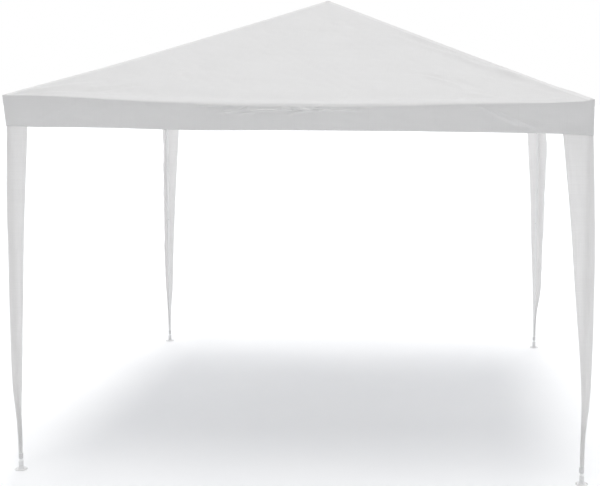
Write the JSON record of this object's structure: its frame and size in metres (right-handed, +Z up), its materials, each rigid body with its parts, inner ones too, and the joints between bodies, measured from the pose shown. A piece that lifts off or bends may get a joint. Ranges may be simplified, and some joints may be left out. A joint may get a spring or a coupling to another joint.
{
  "type": "garden gazebo",
  "caption": "Square garden gazebo: pyramid fabric cover with a short valance over a plug-together steel tube frame, fabric-covered legs on round foot plates.",
  "frame": {"origin": "centre of the gazebo's square, on the ground", "axes": "+Z up; -Y is the front, +X is to the right seen from the front"},
  "size_m": [3.026, 3.026, 2.6],
  "materials": {
    "cover_fabric": "satin",
    "strap_webbing": "matte",
    "cuff_webbing": "matte",
    "tube_steel": "satin",
    "connector_plastic": "satin",
    "foot_plastic": "satin",
    "button_steel": "satin"
  },
  "bodies": {
    "frame": {"corner_connector_back_right": "connector_plastic", "upper_leg_back_right": "tube_steel", "rafter_lower_back_right": "tube_steel", "rafter_upper_back_right": "tube_steel", "leg_cover_back_right": "cover_fabric", "corner_connector_back_left": "connector_plastic", "upper_leg_back_left": "tube_steel", "rafter_lower_back_left": "tube_steel", "rafter_upper_back_left": "tube_steel", "leg_cover_back_left": "cover_fabric", "corner_connector_front_left": "connector_plastic", "upper_leg_front_left": "tube_steel", "rafter_lower_front_left": "tube_steel", "rafter_upper_front_left": "tube_steel", "leg_cover_front_left": "cover_fabric", "corner_connector_front_right": "connector_plastic", "upper_leg_front_right": "tube_steel", "rafter_lower_front_right": "tube_steel", "rafter_upper_front_right": "tube_steel", "leg_cover_front_right": "cover_fabric", "eave_rail_back_right": "tube_steel", "eave_rail_back_left": "tube_steel", "roof_panel_back": "cover_fabric", "valance_back": "cover_fabric", "eave_rail_left_back": "tube_steel", "eave_rail_left_front": "tube_steel", "roof_panel_left": "cover_fabric", "valance_left": "cover_fabric", "eave_rail_front_left": "tube_steel", "eave_rail_front_right": "tube_steel", "roof_panel_front": "cover_fabric", "valance_front": "cover_fabric", "eave_rail_right_front": "tube_steel", "eave_rail_right_back": "tube_steel", "roof_panel_right": "cover_fabric", "valance_right": "cover_fabric", "crown_connector": "connector_plastic", "crown_cap": "connector_plastic", "cover_straps": "strap_webbing"},
    "lower_leg_back_right": {"lower_leg_back_right": "tube_steel", "leg_cuff_back_right": "cuff_webbing"},
    "foot_back_right": {"foot_plate_back_right": "foot_plastic"},
    "leg_button_back_right": {"leg_button_back_right": "button_steel"},
    "corner_button_back_right": {"corner_button_back_right": "button_steel"},
    "lower_leg_back_left": {"lower_leg_back_left": "tube_steel", "leg_cuff_back_left": "cuff_webbing"},
    "foot_back_left": {"foot_plate_back_left": "foot_plastic"},
    "leg_button_back_left": {"leg_button_back_left": "button_steel"},
    "corner_button_back_left": {"corner_button_back_left": "button_steel"},
    "lower_leg_front_left": {"lower_leg_front_left": "tube_steel", "leg_cuff_front_left": "cuff_webbing"},
    "foot_front_left": {"foot_plate_front_left": "foot_plastic"},
    "leg_button_front_left": {"leg_button_front_left": "button_steel"},
    "corner_button_front_left": {"corner_button_front_left": "button_steel"},
    "lower_leg_front_right": {"lower_leg_front_right": "tube_steel", "leg_cuff_front_right": "cuff_webbing"},
    "foot_front_right": {"foot_plate_front_right": "foot_plastic"},
    "leg_button_front_right": {"leg_button_front_right": "button_steel"},
    "corner_button_front_right": {"corner_button_front_right": "button_steel"}
  },
  "joints": [
    {"name": "lower_leg_slide_back_right", "type": "slide", "parent": "frame", "child": "lower_leg_back_right", "axis": [0, 0, 1], "range_m": [0, 0.75], "deforming": ["leg_cover_back_right", "leg_button_back_right"]},
    {"name": "foot_turn_back_right", "type": "hinge", "parent": "lower_leg_back_right", "child": "foot_back_right", "pos_m": [1.48, 1.48, 0.02], "axis": [0, 0, 1], "continuous": true},
    {"name": "leg_button_press_back_right", "type": "slide", "parent": "lower_leg_back_right", "child": "leg_button_back_right", "axis": [0.7071, 0.7071, 0], "range_m": [0, 0.0045], "stiffness_N_per_m": 2500, "springref_m": -0.0008},
    {"name": "corner_button_press_back_right", "type": "slide", "parent": "frame", "child": "corner_button_back_right", "axis": [0.7071, 0.7071, 0], "range_m": [0, 0.0056], "stiffness_N_per_m": 2500, "springref_m": -0.0008},
    {"name": "lower_leg_slide_back_left", "type": "slide", "parent": "frame", "child": "lower_leg_back_left", "axis": [0, 0, 1], "range_m": [0, 0.75], "deforming": ["leg_cover_back_left", "leg_button_back_left"]},
    {"name": "foot_turn_back_left", "type": "hinge", "parent": "lower_leg_back_left", "child": "foot_back_left", "pos_m": [-1.48, 1.48, 0.02], "axis": [0, 0, 1], "continuous": true},
    {"name": "leg_button_press_back_left", "type": "slide", "parent": "lower_leg_back_left", "child": "leg_button_back_left", "axis": [-0.7071, 0.7071, 0], "range_m": [0, 0.0045], "stiffness_N_per_m": 2500, "springref_m": -0.0008},
    {"name": "corner_button_press_back_left", "type": "slide", "parent": "frame", "child": "corner_button_back_left", "axis": [-0.7071, 0.7071, 0], "range_m": [0, 0.0056], "stiffness_N_per_m": 2500, "springref_m": -0.0008},
    {"name": "lower_leg_slide_front_left", "type": "slide", "parent": "frame", "child": "lower_leg_front_left", "axis": [0, 0, 1], "range_m": [0, 0.75], "deforming": ["leg_cover_front_left", "leg_button_front_left"]},
    {"name": "foot_turn_front_left", "type": "hinge", "parent": "lower_leg_front_left", "child": "foot_front_left", "pos_m": [-1.48, -1.48, 0.02], "axis": [0, 0, 1], "continuous": true},
    {"name": "leg_button_press_front_left", "type": "slide", "parent": "lower_leg_front_left", "child": "leg_button_front_left", "axis": [-0.7071, -0.7071, 0], "range_m": [0, 0.0045], "stiffness_N_per_m": 2500, "springref_m": -0.0008},
    {"name": "corner_button_press_front_left", "type": "slide", "parent": "frame", "child": "corner_button_front_left", "axis": [-0.7071, -0.7071, 0], "range_m": [0, 0.0056], "stiffness_N_per_m": 2500, "springref_m": -0.0008},
    {"name": "lower_leg_slide_front_right", "type": "slide", "parent": "frame", "child": "lower_leg_front_right", "axis": [0, 0, 1], "range_m": [0, 0.75], "deforming": ["leg_cover_front_right", "leg_button_front_right"]},
    {"name": "foot_turn_front_right", "type": "hinge", "parent": "lower_leg_front_right", "child": "foot_front_right", "pos_m": [1.48, -1.48, 0.02], "axis": [0, 0, 1], "continuous": true},
    {"name": "leg_button_press_front_right", "type": "slide", "parent": "lower_leg_front_right", "child": "leg_button_front_right", "axis": [0.7071, -0.7071, 0], "range_m": [0, 0.0045], "stiffness_N_per_m": 2500, "springref_m": -0.0008},
    {"name": "corner_button_press_front_right", "type": "slide", "parent": "frame", "child": "corner_button_front_right", "axis": [0.7071, -0.7071, 0], "range_m": [0, 0.0056], "stiffness_N_per_m": 2500, "springref_m": -0.0008}
  ]
}
